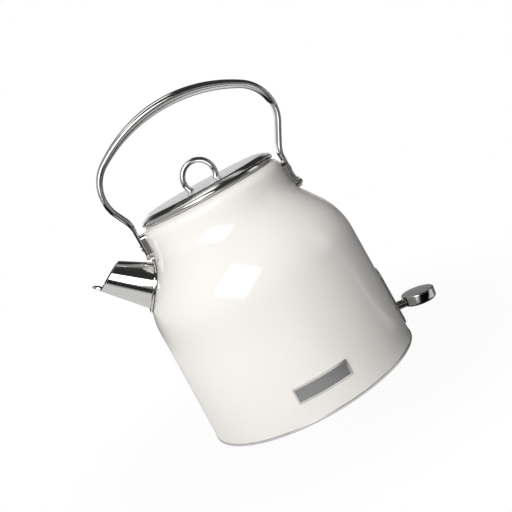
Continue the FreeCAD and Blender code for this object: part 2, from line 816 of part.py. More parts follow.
# Standing rim: a bright rolled hem under the wall.
keep(
    "base_trim_ring",
    turned(
        "base_trim_ring",
        [
            ("hem_radius - hem_width", "0", 0),
            ("hem_radius", "0", "hem_round"),
            ("hem_radius", "hem_height", "hem_round"),
            ("hem_radius - hem_width", "hem_height", 0),
        ],
    ),
)

# Base cover: a moulded tray with drain slots, screwed to posts under the heating pan.
COVER_RADIUS = "(hem_radius - hem_width - slide_gap)"
SOCKET_OUT = "(socket_radius + socket_wall)"
COVER_TOP = "(cover_height + cover_wall)"
cover_blank = turned(
    "cover_blank",
    [
        (SOCKET_OUT + " + slide_gap", "cover_height", 0),
        (COVER_RADIUS + " - cover_wall", "cover_height", 0),
        (COVER_RADIUS + " - cover_wall", "cover_rim_low", 0),
        (COVER_RADIUS, "cover_rim_low", 0),
        (COVER_RADIUS, "cover_rim_high", 0),
        (COVER_RADIUS + " - cover_wall", "cover_rim_high", 0),
        (COVER_RADIUS + " - cover_wall", COVER_TOP, 0),
        (SOCKET_OUT + " + slide_gap", COVER_TOP, 0),
    ],
)
cover_cuts = []
for i in range(int(value("vent_count"))):
    vent = pressed(
        "vent_%d" % i,
        "XY_Plane",
        box_corners(
            "vent_circle - vent_length / 2",
            "vent_circle + vent_length / 2",
            "0 - vent_width / 2",
            "vent_width / 2",
            "slot_round * vent_width",
        ),
        "4 * cover_height",
    )
    cover_cuts.append(place(vent, 0, 0, 0, ABOUT_Z, "360 * (%d + 0.5) / vent_count" % i))
posts = []
base_screws = []
for i, (x, y) in enumerate(around("post_count", "post_circle")):
    cover_cuts.append(
        rod("cover_hole_%d" % i, "base_screw_radius + screw_gap", "4 * cover_height", x, y, "0")
    )
    post = turned(
        "post_%d" % i,
        [
            ("base_screw_radius + loose_gap", COVER_TOP, 0),
            ("post_radius", COVER_TOP, 0),
            ("post_radius", "pan_height", 0),
            ("0", "pan_height", 0),
            ("0", COVER_TOP + " + post_bore_depth", 0),
            ("base_screw_radius + loose_gap", COVER_TOP + " + post_bore_depth", 0),
        ],
    )
    posts.append(place(post, x, y))
    screw = turned(
        "base_screw_%d" % i,
        [
            ("0", "cover_height - base_head_height", 0),
            ("base_head_radius", "cover_height - base_head_height", "head_round * base_head_height"),
            ("base_head_radius", "cover_height", 0),
            ("base_screw_radius", "cover_height", 0),
            ("base_screw_radius", "cover_height + base_screw_length", 0),
            ("0", "cover_height + base_screw_length", 0),
        ],
    )
    base_screws.append(place(screw, x, y))
keep("base_cover", cut("base_cover", cover_blank, *cover_cuts))
keep("base_posts", group("base_posts", posts))
keep("base_screws", group("base_screws", base_screws))

# Heating pan: the vessel's floor, with a turned-up rim and a hole for the steam tube.
PAN_TOP = "(pan_height + pan_wall)"
PAN_RADIUS = "(%s - weld_gap)" % wall_inside("(pan_height + pan_rim)")
pan_blank = turned(
    "pan_blank",
    [
        ("0", "pan_height", 0),
        (PAN_RADIUS, "pan_height", "pan_round"),
        (PAN_RADIUS, "pan_height + pan_rim", 0),
        (PAN_RADIUS + " - wall", "pan_height + pan_rim", 0),
        (PAN_RADIUS + " - wall", PAN_TOP, "pan_round - wall"),
        ("0", PAN_TOP, 0),
    ],
)
PAN_BELOW = "pan_height - pan_wall"
pan_hole = rod("pan_hole", "grommet_neck + loose_gap", "3 * pan_wall", "tube_place", 0, PAN_BELOW)
keep("heating_pan", cut("heating_pan", pan_blank, pan_hole))

# Heat spreader and sheathed element under the pan.
SPREADER_LOW = "(pan_height - spreader_height)"
spreader_blank = rod("spreader_blank", "spreader_radius", "spreader_height", 0, 0, SPREADER_LOW)
element_ring = doc.addObject("Part::Torus", "element_ring")
bind(element_ring, Radius1="element_circle", Radius2="element_rod", Angle3="360 - 2 * element_gap")
place(element_ring, 0, 0, SPREADER_LOW + " - element_rod", ABOUT_Z, "element_gap")
tails = []
for name, side in (("left", "1"), ("right", "0 - 1")):
    tail = rod(
        "element_tail_" + name,
        "tail_radius",
        "tail_length",
        "element_circle * cos(element_gap)",
        "(%s) * element_circle * sin(element_gap)" % side,
        SPREADER_LOW + " - element_rod",
    )
    direction = FreeCAD.Vector(value("sin(element_gap)"), -value("(%s) * cos(element_gap)" % side), 0)
    tail.Placement.Rotation = FreeCAD.Rotation(FreeCAD.Vector(0, 0, 1), direction)
    tails.append(tail)
keep("heating_element", fuse("heating_element", element_ring, *tails))

# Control: moulded housing with the round power socket below and two snap discs on top.
SOCKET_TOP = "(socket_low + socket_depth)"
control_blank = turned(
    "control_blank",
    [
        ("socket_radius", "socket_low", 0),
        (SOCKET_OUT, "socket_low", 0),
        (SOCKET_OUT, "control_low", 0),
        ("control_radius", "control_low", "control_round"),
        ("control_radius", CONTROL_TOP, "control_round"),
        ("0", CONTROL_TOP, 0),
        ("0", SOCKET_TOP, 0),
        ("socket_radius", SOCKET_TOP, 0),
    ],
)
control_holes = []
control_screws = []
for i, (x, y) in enumerate(around("post_count", "control_screw_circle")):
    length = SPREADER_LOW + " - control_low + control_screw_bite + loose_gap"
    fit = "control_screw_radius + loose_gap"
    control_holes.append(rod("control_hole_%d" % i, fit, length, x, y, "control_low"))
    screw = turned(
        "control_screw_%d" % i,
        [
            ("0", "control_low - control_head_height", 0),
            ("control_head_radius", "control_low - control_head_height", "head_round * control_head_height"),
            ("control_head_radius", "control_low", 0),
            ("control_screw_radius", "control_low", 0),
            ("control_screw_radius", SPREADER_LOW + " + control_screw_bite", 0),
            ("0", SPREADER_LOW + " + control_screw_bite", 0),
        ],
    )
    control_screws.append(place(screw, x, y))
control_tools = fuse("control_tools", *control_holes)
keep("control_housing", cut("control_housing", control_blank, control_tools))
keep("heat_spreader", cut("heat_spreader", spreader_blank, control_tools))
keep("control_screws", group("control_screws", control_screws))
discs = []
for i, side in enumerate(("1", "0 - 1")):
    disc = turned(
        "dry_boil_disc_%d" % i,
        [
            ("0", "control_head_gap - disc_wall", 0),
            ("disc_radius", "0", 0),
            ("disc_radius", "disc_wall", 0),
            ("0", "control_head_gap", 0),
        ],
    )
    discs.append(place(disc, 0, "(%s) * disc_place" % side, CONTROL_TOP))
keep("dry_boil_discs", group("dry_boil_discs", discs))
keep(
    "connector_pin",
    turned(
        "connector_pin",
        [
            ("0", "earth_pin_low", 0),
            ("earth_pin_radius", "earth_pin_low", "head_round * earth_pin_radius"),
            ("earth_pin_radius", SOCKET_TOP, 0),
            ("0", SOCKET_TOP, 0),
        ],
    ),
)
contacts = []
for name in ("inner_contact_radius", "outer_contact_radius"):
    inner = name + " - contact_wall / 2"
    outer = name + " + contact_wall / 2"
    contacts.append(turned(name + "_ring", box_corners(inner, outer, "contact_low", SOCKET_TOP)))
keep("connector_rings", group("connector_rings", contacts))

# Steam tube: from above the water line down through the pan to the steam disc.
tube = turned("steam_tube", box_corners("tube_radius - tube_wall", "tube_radius", "tube_low", "tube_high"))
keep("steam_tube", place(tube, "tube_place"))
grommet = turned(
    "steam_tube_grommet",
    [
        ("tube_radius + loose_gap", "pan_height - grommet_lip", 0),
        ("grommet_radius", "pan_height - grommet_lip", 0),
        ("grommet_radius", "pan_height", 0),
        ("grommet_neck", "pan_height", 0),
        ("grommet_neck", PAN_TOP, 0),
        ("grommet_radius", PAN_TOP, 0),
        ("grommet_radius", PAN_TOP + " + grommet_lip", 0),
        ("tube_radius + loose_gap", PAN_TOP + " + grommet_lip", 0),
    ],
)
keep("steam_tube_grommet", place(grommet, "tube_place"))

# Switch bracket: a moulded cradle under the pan that holds the lever's pin and the steam disc.
HALF = "(bracket_width / 2)"
BRACKET_LOW = "(pan_height - bracket_drop)"
cradle = pressed(
    "cradle",
    "YZ_Plane",
    [
        ("0 - " + HALF, "pan_height", 0),
        ("0 - " + HALF, BRACKET_LOW, 0),
        ("0 - %s + bracket_wall" % HALF, BRACKET_LOW, 0),
        ("0 - %s + bracket_wall" % HALF, "pan_height - bracket_wall + detent_wall", 0),
        (HALF + " - bracket_wall", "pan_height - bracket_wall + detent_wall", 0),
        (HALF + " - bracket_wall", BRACKET_LOW, 0),
        (HALF, BRACKET_LOW, 0),
        (HALF, "pan_height", 0),
    ],
    "bracket_length",
    "bracket_start",
)
tab = pressed(
    "bracket_tab",
    "YZ_Plane",
    box_corners("0 - " + HALF, HALF, BRACKET_LOW, "pan_height"),
    "tab_wall",
    "bracket_start",
)
TAB_BACK = "bracket_start - tab_wall"
tab_hole = rod("tab_hole", "tab_bore", "4 * tab_wall", TAB_BACK, 0, "pivot_height", ABOUT_Y, "90")
PIN_FIT = "pivot_radius + loose_gap / 2"
ACROSS = "2 * bracket_width"
pin_hole = rod("pin_hole", PIN_FIT, ACROSS, "pivot_place", "bracket_width", "pivot_height", ABOUT_X, "90")
keep("switch_bracket", cut("switch_bracket", fuse("bracket_blank", cradle, tab), tab_hole, pin_hole))
pin = turned(
    "pivot_pin",
    [
        ("0", "0", 0),
        ("pivot_radius", "0", 0),
        ("pivot_radius", "bracket_width", 0),
        ("pivot_head_radius", "bracket_width", 0),
        ("pivot_head_radius", "bracket_width + pivot_head_height", "head_round * pivot_head_height"),
        ("0", "bracket_width + pivot_head_height", 0),
    ],
)
keep("pivot_pin", place(pin, "pivot_place", HALF, "pivot_height", ABOUT_X, "90"))
detent = bind(
    doc.addObject("Part::Box", "detent_spring"),
    Length="bracket_length - 2 * tab_wall",
    Width="detent_width",
    Height="detent_wall",
)
DETENT_START = "bracket_start + tab_wall + slide_gap"
place(detent, DETENT_START, "0 - detent_width / 2", "pan_height - bracket_wall")
keep("detent_spring", detent)
steam_disc = turned(
    "steam_disc",
    [
        ("0", "2 * disc_wall", 0),
        ("steam_disc_radius", "0", 0),
        ("steam_disc_radius", "disc_wall", 0),
        ("0", "3 * disc_wall", 0),
    ],
)
keep("steam_disc", place(steam_disc, "bracket_start", 0, "pivot_height", ABOUT_Y, "0 - 90"))

# Switch lever: hub on the pin, a trip arm inside and a round stem through the wall.
HUB_HALF = "(%s - bracket_wall - hub_side_gap)" % HALF
TENON_END = "(stem_length + tenon_length)"
hub = rod("lever_hub", "hub_radius", "2 * " + HUB_HALF, 0, HUB_HALF, 0, ABOUT_X, "90")
stem = rod("lever_stem", "stem_radius", "stem_length", 0, 0, 0, ABOUT_Y, "90")
tenon = rod("lever_tenon", "tenon_radius", TENON_END, 0, 0, 0, ABOUT_Y, "90")
arm = bind(doc.addObject("Part::Box", "lever_arm"), Length="arm_reach", Width="arm_width", Height="arm_wall")
place(arm, "0 - arm_reach", "0 - arm_width / 2", "0 - arm_wall / 2")
lever_bore = rod("lever_bore", "pivot_radius + loose_gap", ACROSS, 0, "bracket_width", 0, ABOUT_X, "90")
lever = cut("switch_lever", fuse("lever_blank", hub, stem, tenon, arm), lever_bore)
keep("switch_lever", place(lever, "pivot_place", 0, "pivot_height", ABOUT_Y, "lever_droop"))

# Switch paddle: a thick round disc on the end of the stem.
coin = turned(
    "paddle_coin",
    [
        ("0", "0 - paddle_wall / 2", 0),
        ("paddle_radius", "0 - paddle_wall / 2", "paddle_low_round"),
        ("paddle_radius", "paddle_wall / 2", "paddle_top_round"),
        ("0", "paddle_wall / 2", 0),
    ],
)
place(coin, "paddle_place", 0, "paddle_rise")
STEM_SEAT = "stem_length + loose_gap"
TENON_SEAT = TENON_END + " + loose_gap"
stem_seat = rod("stem_seat", "stem_radius + loose_gap", STEM_SEAT, 0, 0, 0, ABOUT_Y, "90")
tenon_seat = rod("tenon_seat", "tenon_radius + loose_gap", TENON_SEAT, 0, 0, 0, ABOUT_Y, "90")
paddle = cut("switch_paddle", coin, stem_seat, tenon_seat)
keep("switch_paddle", place(paddle, "pivot_place", 0, "pivot_height", ABOUT_Y, "lever_droop"))

# Switch plate: a thin plate on the wall round the stem's slot.
plate_prism = pressed(
    "plate_prism",
    "YZ_Plane",
    box_corners("0 - plate_width / 2", "plate_width / 2", "plate_low", "plate_high", "plate_round"),
    FAR,
)
plate_skin = skin("plate_skin", "plate_wall")
plate_blank = common("plate_blank", plate_prism, plate_skin)
keep("switch_plate", cut("switch_plate", plate_blank, outer_skin, wall_slot))

# Badge plate: a bare framed plate on the wall.
badge_prism = pressed(
    "badge_prism",
    "XZ_Plane",
    box_corners("0 - badge_width / 2", "badge_width / 2", "badge_low", "badge_high", "badge_round"),
    FAR,
)
badge_field = pressed(
    "badge_field",
    "XZ_Plane",
    box_corners(
        "badge_border - badge_width / 2",
        "badge_width / 2 - badge_border",
        "badge_low + badge_border",
        "badge_high - badge_border",
        "badge_round / 2",
    ),
    FAR,
)
badge_recess = cut("badge_recess", badge_field, skin("recess_skin", "badge_wall - badge_recess"))
badge_blank = common("badge_blank", badge_prism, skin("badge_skin", "badge_wall"))
keep("badge_plate", cut("badge_plate", badge_blank, outer_skin, badge_recess))

# Lid: a polished cap with a rolled rim over a pressed plug with a soft seal.
lid_blank = turned(
    "lid_blank",
    [
        ("0", LID_TOP, 0),
        ("lid_radius - lid_flat_inset", LID_TOP, "lid_top_round"),
        ("lid_radius", LID_EDGE, "lid_edge_round"),
        ("lid_radius", LID_LOW, "lid_low_round"),
        ("lid_radius - lid_curl", LID_LOW, 0),
        ("lid_radius - lid_curl", LID_LOW + " + lid_wall", 0),
        ("lid_radius - lid_wall", LID_LOW + " + lid_wall", "lid_low_round - lid_wall"),
        (
            "lid_radius - lid_wall",
            LID_EDGE + " - lid_wall * tan(45 - lid_bevel / 2)",
            "lid_edge_round - lid_wall",
        ),
        (
            "lid_radius - lid_flat_inset - lid_wall * tan(lid_bevel / 2)",
            LID_TOP + " - lid_wall",
            "lid_top_round - lid_wall",
        ),
        ("0", LID_TOP + " - lid_wall", 0),
    ],
)
keep(
    "lid_plug",
    turned(
        "lid_plug",
        [
            ("0", "seat_height - plug_depth", 0),
            ("plug_radius", "seat_height - plug_depth", "plug_round"),
            ("plug_radius", LID_LOW + " + lid_wall", 0),
            ("plug_radius + plug_flange", LID_LOW + " + lid_wall", 0),
            ("plug_radius + plug_flange", LID_LOW + " + lid_wall + plug_wall", 0),
            ("plug_radius - plug_wall", LID_LOW + " + lid_wall + plug_wall", 0),
            ("plug_radius - plug_wall", "seat_height - plug_depth + plug_wall", "plug_round - plug_wall"),
            ("0", "seat_height - plug_depth + plug_wall", 0),
        ],
    ),
)
SEAL_LOW = "(seat_height - lid_seal_low)"
keep(
    "lid_seal",
    turned(
        "lid_seal",
        [
            ("plug_radius + loose_gap", SEAL_LOW, 0),
            ("mouth_radius - slide_gap", SEAL_LOW + " + lid_seal_height / 2", "lid_seal_height / 4"),
            ("plug_radius + loose_gap", SEAL_LOW + " + lid_seal_height", 0),
        ],
    ),
)

# Lid ring: a bent wire loop with studs through the cap and nuts under it.
hoop = bind(doc.addObject("Part::Torus", "hoop"), Radius1="ring_radius", Radius2="ring_wire")
place(hoop, 0, 0, LID_TOP + " + ring_rise", ABOUT_X, "90")
above = bind(doc.addObject("Part::Box", "above_lid"), Length=FAR, Width=FAR, Height=FAR)
place(above, "0 - 2 * body_radius", "0 - 2 * body_radius", LID_TOP)
studs = []
stud_holes = []
ring_nuts = []
for name, side in (("front", "0 - 1"), ("rear", "1")):
    x = "(%s) * sqrt(pow(ring_radius; 2) - pow(ring_rise; 2))" % side
    low = LID_TOP + " - lid_wall - stud_length"
    studs.append(rod(name + "_stud", "stud_radius", "lid_wall + stud_length + ring_wire / 2", x, 0, low))
    fit = "stud_radius + loose_gap"
    stud_holes.append(rod(name + "_stud_hole", fit, "4 * lid_wall + stud_length", x, 0, low))
    hexagon = doc.addObject("Part::Prism", name + "_ring_hexagon")
    hexagon.Polygon = 6
    bind(hexagon, Circumradius="ring_nut_radius", Height="ring_nut_height")
    place(hexagon, x, 0, LID_TOP + " - lid_wall - ring_nut_height")
    ring_nuts.append(cut(name + "_ring_nut", hexagon, stud_holes[-1]))
keep("lid_ring", fuse("lid_ring", common("lid_loop", hoop, above), *studs))
keep("lid_cover", cut("lid_cover", lid_blank, *stud_holes))
keep("lid_ring_nuts", group("lid_ring_nuts", ring_nuts))

doc.recompute()
failed = [thing.Name for thing in doc.Objects if "Invalid" in thing.State or "Error" in thing.State]
if failed:
    raise RuntimeError("these objects failed: " + ", ".join(failed))
for piece in pieces:
    if piece.Shape.isNull() or not piece.Shape.isValid() or not piece.Shape.Solids:
        raise RuntimeError("this piece has no valid solid: " + piece.Label)
os.makedirs("parts", exist_ok=True)
for piece in pieces:
    piece.Shape.exportStep("parts/%s.step" % piece.Label)
    print("%-20s solids %d  volume %.1f" % (piece.Label, len(piece.Shape.Solids), piece.Shape.Volume))
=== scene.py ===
"""Electric kettle with a cream enamelled body and polished steel fittings."""
import json
import math

import bmesh
import bpy
from mathutils import Matrix, Vector


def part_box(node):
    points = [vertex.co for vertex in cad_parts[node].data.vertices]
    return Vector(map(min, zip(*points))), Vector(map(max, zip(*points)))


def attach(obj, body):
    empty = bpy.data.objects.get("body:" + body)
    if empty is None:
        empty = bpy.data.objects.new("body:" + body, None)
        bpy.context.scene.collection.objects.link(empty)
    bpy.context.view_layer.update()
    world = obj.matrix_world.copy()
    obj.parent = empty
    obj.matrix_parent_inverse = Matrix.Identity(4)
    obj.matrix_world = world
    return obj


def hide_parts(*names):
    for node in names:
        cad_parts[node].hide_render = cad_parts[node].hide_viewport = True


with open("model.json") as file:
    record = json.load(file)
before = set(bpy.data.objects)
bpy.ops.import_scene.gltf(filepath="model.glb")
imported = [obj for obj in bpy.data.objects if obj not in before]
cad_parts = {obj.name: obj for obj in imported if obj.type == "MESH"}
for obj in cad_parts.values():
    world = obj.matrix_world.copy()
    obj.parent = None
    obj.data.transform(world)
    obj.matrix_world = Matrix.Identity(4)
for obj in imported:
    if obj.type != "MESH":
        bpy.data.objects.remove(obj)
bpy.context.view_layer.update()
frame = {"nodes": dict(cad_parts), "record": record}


# Body shell
# One deep-drawn sheet of stainless steel, rounded at the shoulder, waisted at the neck and
# turned down inside the mouth. The outside has a baked coat of cream enamel, the inside is bare.
def rounded(corners, step=math.radians(3)):
    """Points of an outline through corners (across, up, rounding), with arcs where it is rounded."""
    points = []
    for i, (across, up, radius) in enumerate(corners):
        corner = Vector((across, up))
        if not radius:
            points.append(corner)
            continue
        back = (Vector(corners[i - 1][:2]) - corner).normalized()
        ahead = (Vector(corners[i + 1][:2]) - corner).normalized()
        half = back.angle(ahead) / 2
        centre = corner + (back + ahead).normalized() * radius / math.sin(half)
        first = corner + back * radius / math.tan(half) - centre
        last = corner + ahead * radius / math.tan(half) - centre
        sweep = math.copysign(math.pi - 2 * half, first.x * last.y - first.y * last.x)
        steps = max(3, math.ceil(abs(sweep) / step))
        points += [centre + Matrix.Rotation(sweep * k / steps, 2) @ first for k in range(steps + 1)]
    return points


def lathe(outline, turns):
    """A mesh turned about the upright axis from an outline of (radius, height)."""
    mesh = bmesh.new()
    rings = []
    for radius, height in outline:
        if radius < 1e-7:
            rings.append([mesh.verts.new((0, 0, height))] * turns)
            continue
        angles = [2 * math.pi * k / turns for k in range(turns)]
        rings.append([mesh.verts.new((radius * math.cos(a), radius * math.sin(a), height)) for a in angles])
    for lower, upper in zip(rings, rings[1:]):
        for k in range(turns):
            loop = [lower[k], lower[k - 1], upper[k - 1], upper[k]]
            mesh.faces.new(list(dict.fromkeys(loop)))
    bmesh.ops.remove_doubles(mesh, verts=mesh.verts, dist=1e-7)
    bmesh.ops.recalc_face_normals(mesh, faces=mesh.faces)
    return mesh


EDGE_ANGLE = math.radians(35)


def piece(name, mesh, body, *nodes):
    """An object made of a mesh, moving with a body and shown in place of its nodes."""
    data = bpy.data.meshes.new(name)
    mesh.to_mesh(data)
    mesh.free()
    data.shade_smooth()
    data.set_sharp_from_angle(angle=EDGE_ANGLE)
    thing = bpy.data.objects.new(name, data)
    bpy.context.collection.objects.link(thing)
    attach(thing, body)
    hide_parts(*nodes)
    return thing


def bored(thing, *cutters):
    """Cut closed meshes out of a piece."""
    for cutter in cutters:
        data = bpy.data.meshes.new("cutter")
        cutter.to_mesh(data)
        cutter.free()
        tool = bpy.data.objects.new("cutter", data)
        bpy.context.collection.objects.link(tool)
        cut = thing.modifiers.new("cut", "BOOLEAN")
        cut.operation = "DIFFERENCE"
        cut.solver = "EXACT"
        cut.object = tool
        bpy.context.view_layer.update()
        state = thing.evaluated_get(bpy.context.evaluated_depsgraph_get())
        result = bpy.data.meshes.new_from_object(state)
        thing.modifiers.clear()
        old = thing.data
        thing.data = result
        bpy.data.meshes.remove(old)
        bpy.data.objects.remove(tool)
    thing.data.shade_smooth()
    thing.data.set_sharp_from_angle(angle=EDGE_ANGLE)


class Signal:
    """An output of a shader node, on which sums are written as plain expressions."""

    def __init__(self, finish, output):
        self.finish = finish
        self.output = output

    def sum(self, operation, *terms):
        return self.finish.node("ShaderNodeMath", {"operation": operation}, *terms)

    def __add__(self, other):
        return self.sum("ADD", self, other)

    def __sub__(self, other):
        return self.sum("SUBTRACT", self, other)

    def __mul__(self, other):
        return self.sum("MULTIPLY", self, other)

    def __abs__(self):
        return self.sum("ABSOLUTE", self)

    def __rsub__(self, other):
        return self.sum("SUBTRACT", other, self)

    __radd__ = __add__
    __rmul__ = __mul__


class Finish:
    """The shader of a surface, or of the studio round it, built node by node."""

    def __init__(self, name, kept_in=bpy.data.materials):
        self.material = kept_in.new(name)
        self.material.use_nodes = True
        self.tree = self.material.node_tree
        self.tree.nodes.clear()

    def node(self, kind, settings, *inputs, out=0, **named):
        """A node of a kind, with its settings made first, then its sockets set or linked."""
        made = self.tree.nodes.new(kind)
        for name, setting in settings.items():
            setattr(made, name, setting)
        sockets = list(zip(made.inputs, inputs))
        sockets += [(made.inputs[name.replace("_", " ")], content) for name, content in named.items()]
        for socket, content in sockets:
            self.feed(socket, content)
        return Signal(self, made.outputs[out])

    def feed(self, socket, content):
        """Link a signal to a socket, or set the socket's value."""
        if isinstance(content, Signal):
            self.tree.links.new(content.output, socket)
        else:
            socket.default_value = content

    def place(self):
        """Where a point of the surface is, in the object's own metres."""
        return self.node("ShaderNodeTexCoord", {}, out="Object")

    def split(self, vector):
        """The three parts of a vector."""
        parts = self.node("ShaderNodeSeparateXYZ", {}, vector).output.node.outputs
        return [Signal(self, part) for part in parts]

    def noise(self, scale, detail=2.0, rough=0.5, stretch=(1, 1, 1)):
        """A cloudy pattern over the surface, drawn out where a stretch is under 1."""
        spread = self.node("ShaderNodeVectorMath", {"operation": "MULTIPLY"}, self.place(), stretch)
        return self.node(
            "ShaderNodeTexNoise", {}, Vector=spread, Scale=scale, Detail=detail, Roughness=rough
        )

    def blend(self, share, first, second):
        """A colour between two, by a share from 0 to 1."""
        mix = self.node("ShaderNodeMix", {"data_type": "RGBA"}).output.node
        colours = [socket for socket in mix.inputs if socket.type == "RGBA"]
        for socket, content in zip([mix.inputs["Factor"]] + colours, (share, first, second)):
            self.feed(socket, content)
        return Signal(self, [output for output in mix.outputs if output.type == "RGBA"][0])

    def bump(self, height, depth, strength=0.2):
        """Fine relief of a depth in metres."""
        sockets = {"Strength": strength, "Distance": depth, "Height": height}
        return self.node("ShaderNodeBump", {}, out="Normal", **sockets)

    def fade(self, amount, low, high):
        """0 below a low amount, 1 above a high one and smooth between."""
        settings = {"interpolation_type": "SMOOTHSTEP"}
        return self.node("ShaderNodeMapRange", settings, amount, low, high, 0.0, 1.0)

    def coat(self, **sockets):
        """The surface itself, with its sockets' values."""
        self.close(self.node("ShaderNodeBsdfPrincipled", {}, **sockets))

    def close(self, surface, kind="ShaderNodeOutputMaterial"):
        """Link the finished surface to the output."""
        output = self.tree.nodes.new(kind)
        self.tree.links.new(surface.output, output.inputs["Surface"])


BODY_RADIUS = 0.0880
HEM_HEIGHT = 0.0022
SHOULDER_RADIUS = 0.0857
SHOULDER_HEIGHT = 0.1146
SHOULDER_ROUND = 0.056
NECK_RADIUS = 0.0603
NECK_SLOPE = math.radians(36)
NECK_HEIGHT = SHOULDER_HEIGHT + (SHOULDER_RADIUS - NECK_RADIUS) / math.tan(NECK_SLOPE)
NECK_ROUND = 0.026
SEAT_HEIGHT = 0.1748
SEAT_ROUND = 0.0084
MOUTH_RADIUS = 0.0502
MOUTH_LOW = 0.166
MOUTH_ROUND = 0.0014
WALL = 0.001
WALL_LIFT = WALL * math.tan(NECK_SLOPE / 2)
body_outside = rounded([
    (BODY_RADIUS, HEM_HEIGHT, 0),
    (SHOULDER_RADIUS, SHOULDER_HEIGHT, SHOULDER_ROUND),
    (NECK_RADIUS, NECK_HEIGHT, NECK_ROUND),
    (NECK_RADIUS, SEAT_HEIGHT, SEAT_ROUND),
    (MOUTH_RADIUS, SEAT_HEIGHT, MOUTH_ROUND),
    (MOUTH_RADIUS, MOUTH_LOW, 0),
])
body_inside = rounded([
    (MOUTH_RADIUS + WALL, MOUTH_LOW, 0),
    (MOUTH_RADIUS + WALL, SEAT_HEIGHT - WALL, 0),
    (NECK_RADIUS - WALL, SEAT_HEIGHT - WALL, SEAT_ROUND - WALL),
    (NECK_RADIUS - WALL, NECK_HEIGHT - WALL_LIFT, NECK_ROUND + WALL),
    (SHOULDER_RADIUS - WALL, SHOULDER_HEIGHT - WALL_LIFT, SHOULDER_ROUND - WALL),
    (BODY_RADIUS - WALL, HEM_HEIGHT, 0),
])
body_outline = body_outside + body_inside + body_outside[:1]
FINE_TURNS = 256
body_shell = piece("enamelled_body", lathe(body_outline, FINE_TURNS), "kettle", "body_shell")

SPOUT_ROOT = Vector((-0.0713, 0, 0.1312))
SPOUT_ANGLE = math.radians(41.1)
SPOUT_AXIS = Vector((-math.cos(SPOUT_ANGLE), 0, math.sin(SPOUT_ANGLE)))
POUR_RADIUS = 0.014
POUR_LENGTH = 0.04
SLOT_HEIGHT = 0.0175
SLOT_SIZE = (0.02, 0.0088, 0.0134)
pour_hole = bmesh.new()
bmesh.ops.create_cone(
    pour_hole, cap_ends=True, segments=64, radius1=POUR_RADIUS, radius2=POUR_RADIUS, depth=POUR_LENGTH,
    matrix=Matrix.Translation(SPOUT_ROOT) @ SPOUT_AXIS.to_track_quat("Z", "Y").to_matrix().to_4x4(),
)
lever_slot = bmesh.new()
slot_place = Matrix.Translation((BODY_RADIUS, 0, SLOT_HEIGHT))
bmesh.ops.create_cube(lever_slot, size=1, matrix=slot_place @ Matrix.Diagonal((*SLOT_SIZE, 1)))
bored(body_shell, pour_hole, lever_slot)

enamel = Finish("cream enamel")
flow = enamel.noise(14.0, 3.0)
pull = enamel.noise(900.0, 1.0)
enamel.coat(
    Base_Color=enamel.blend(flow, (0.858, 0.826, 0.792, 1), (0.883, 0.850, 0.817, 1)),
    Roughness=0.04 + flow * 0.04,
    Normal=enamel.bump(pull, 0.00002, 0.05),
    Coat_Weight=0.35,
    Coat_Roughness=0.04,
)
drawn_steel = Finish("drawn steel")
grain = drawn_steel.noise(260.0, 4.0, 0.6, (1, 1, 0.06))
drawn_steel.coat(
    Base_Color=drawn_steel.blend(grain, (0.46, 0.46, 0.455, 1), (0.60, 0.60, 0.59, 1)),
    Roughness=0.26 + grain * 0.16,
    Metallic=1.0,
    Normal=drawn_steel.bump(grain, 0.00003, 0.15),
)
body_shell.data.materials.append(enamel.material)
body_shell.data.materials.append(drawn_steel.material)
for face in body_shell.data.polygons:
    outward = face.normal.x * face.center.x + face.normal.y * face.center.y
    bare = outward < 0 or math.hypot(face.center.x, face.center.y) < MOUTH_RADIUS + 0.5 * WALL
    face.material_index = 1 if bare else 0


# Standing hem
# A bright strip of polished steel on which the kettle stands. It is rolled over the lower edge of
# the wall, and its own edges are broken by a small round.
hem_low, hem_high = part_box("base_trim_ring")
HEM_RADIUS = 0.0885
HEM_WIDTH = 0.0039
HEM_ROUND = 0.0005
hem_outline = rounded([
    (HEM_RADIUS - HEM_WIDTH, hem_low[2], 0),
    (HEM_RADIUS, hem_low[2], HEM_ROUND),
    (HEM_RADIUS, hem_high[2], HEM_ROUND),
    (HEM_RADIUS - HEM_WIDTH, hem_high[2], 0),
    (HEM_RADIUS - HEM_WIDTH, hem_low[2], 0),
], math.radians(12))
hem = piece("standing_hem", lathe(hem_outline, FINE_TURNS), "kettle", "base_trim_ring")

polished_steel = Finish("polished steel")
smear = polished_steel.noise(45.0, 3.0, 0.6)
line = polished_steel.noise(700.0, 2.0, 0.5)
polished_steel.coat(
    Base_Color=polished_steel.blend(smear, (0.76, 0.755, 0.745, 1), (0.82, 0.815, 0.80, 1)),
    Roughness=0.045 + smear * 0.05,
    Metallic=1.0,
    Normal=polished_steel.bump(line, 0.00001, 0.04),
)
hem.data.materials.append(polished_steel.material)


# Handle
# A flat-oval steel tube bent to an arch over the lid. Each end is pressed flat to a strap that
# follows the neck and is screwed to it through a saddle.
TUBE_PLACE = 0.0633
END_WALL = 0.005
END_WIDTH = 0.015
ARCH_WALL = 0.009
ARCH_WIDTH = 0.017
ARCH_FULLNESS = 1.25
STRAP_WALL = 0.0028
STRAP_FULLNESS = 2.5
STRAP_ROUND = 0.005
SADDLE_WALL = 0.0027
PRESSED_LENGTH = 0.014
FOOT_ROUND = 0.018
CORNER_ROUND = 0.0295
CROWN_ROUND = 0.116
FRONT_STRAP = (0.1755, 0.151)
REAR_STRAP = (0.1715, 0.143)
BEND_STEP = math.radians(1)
ARCH_STEPS = 220
STRAP_STEPS = 80


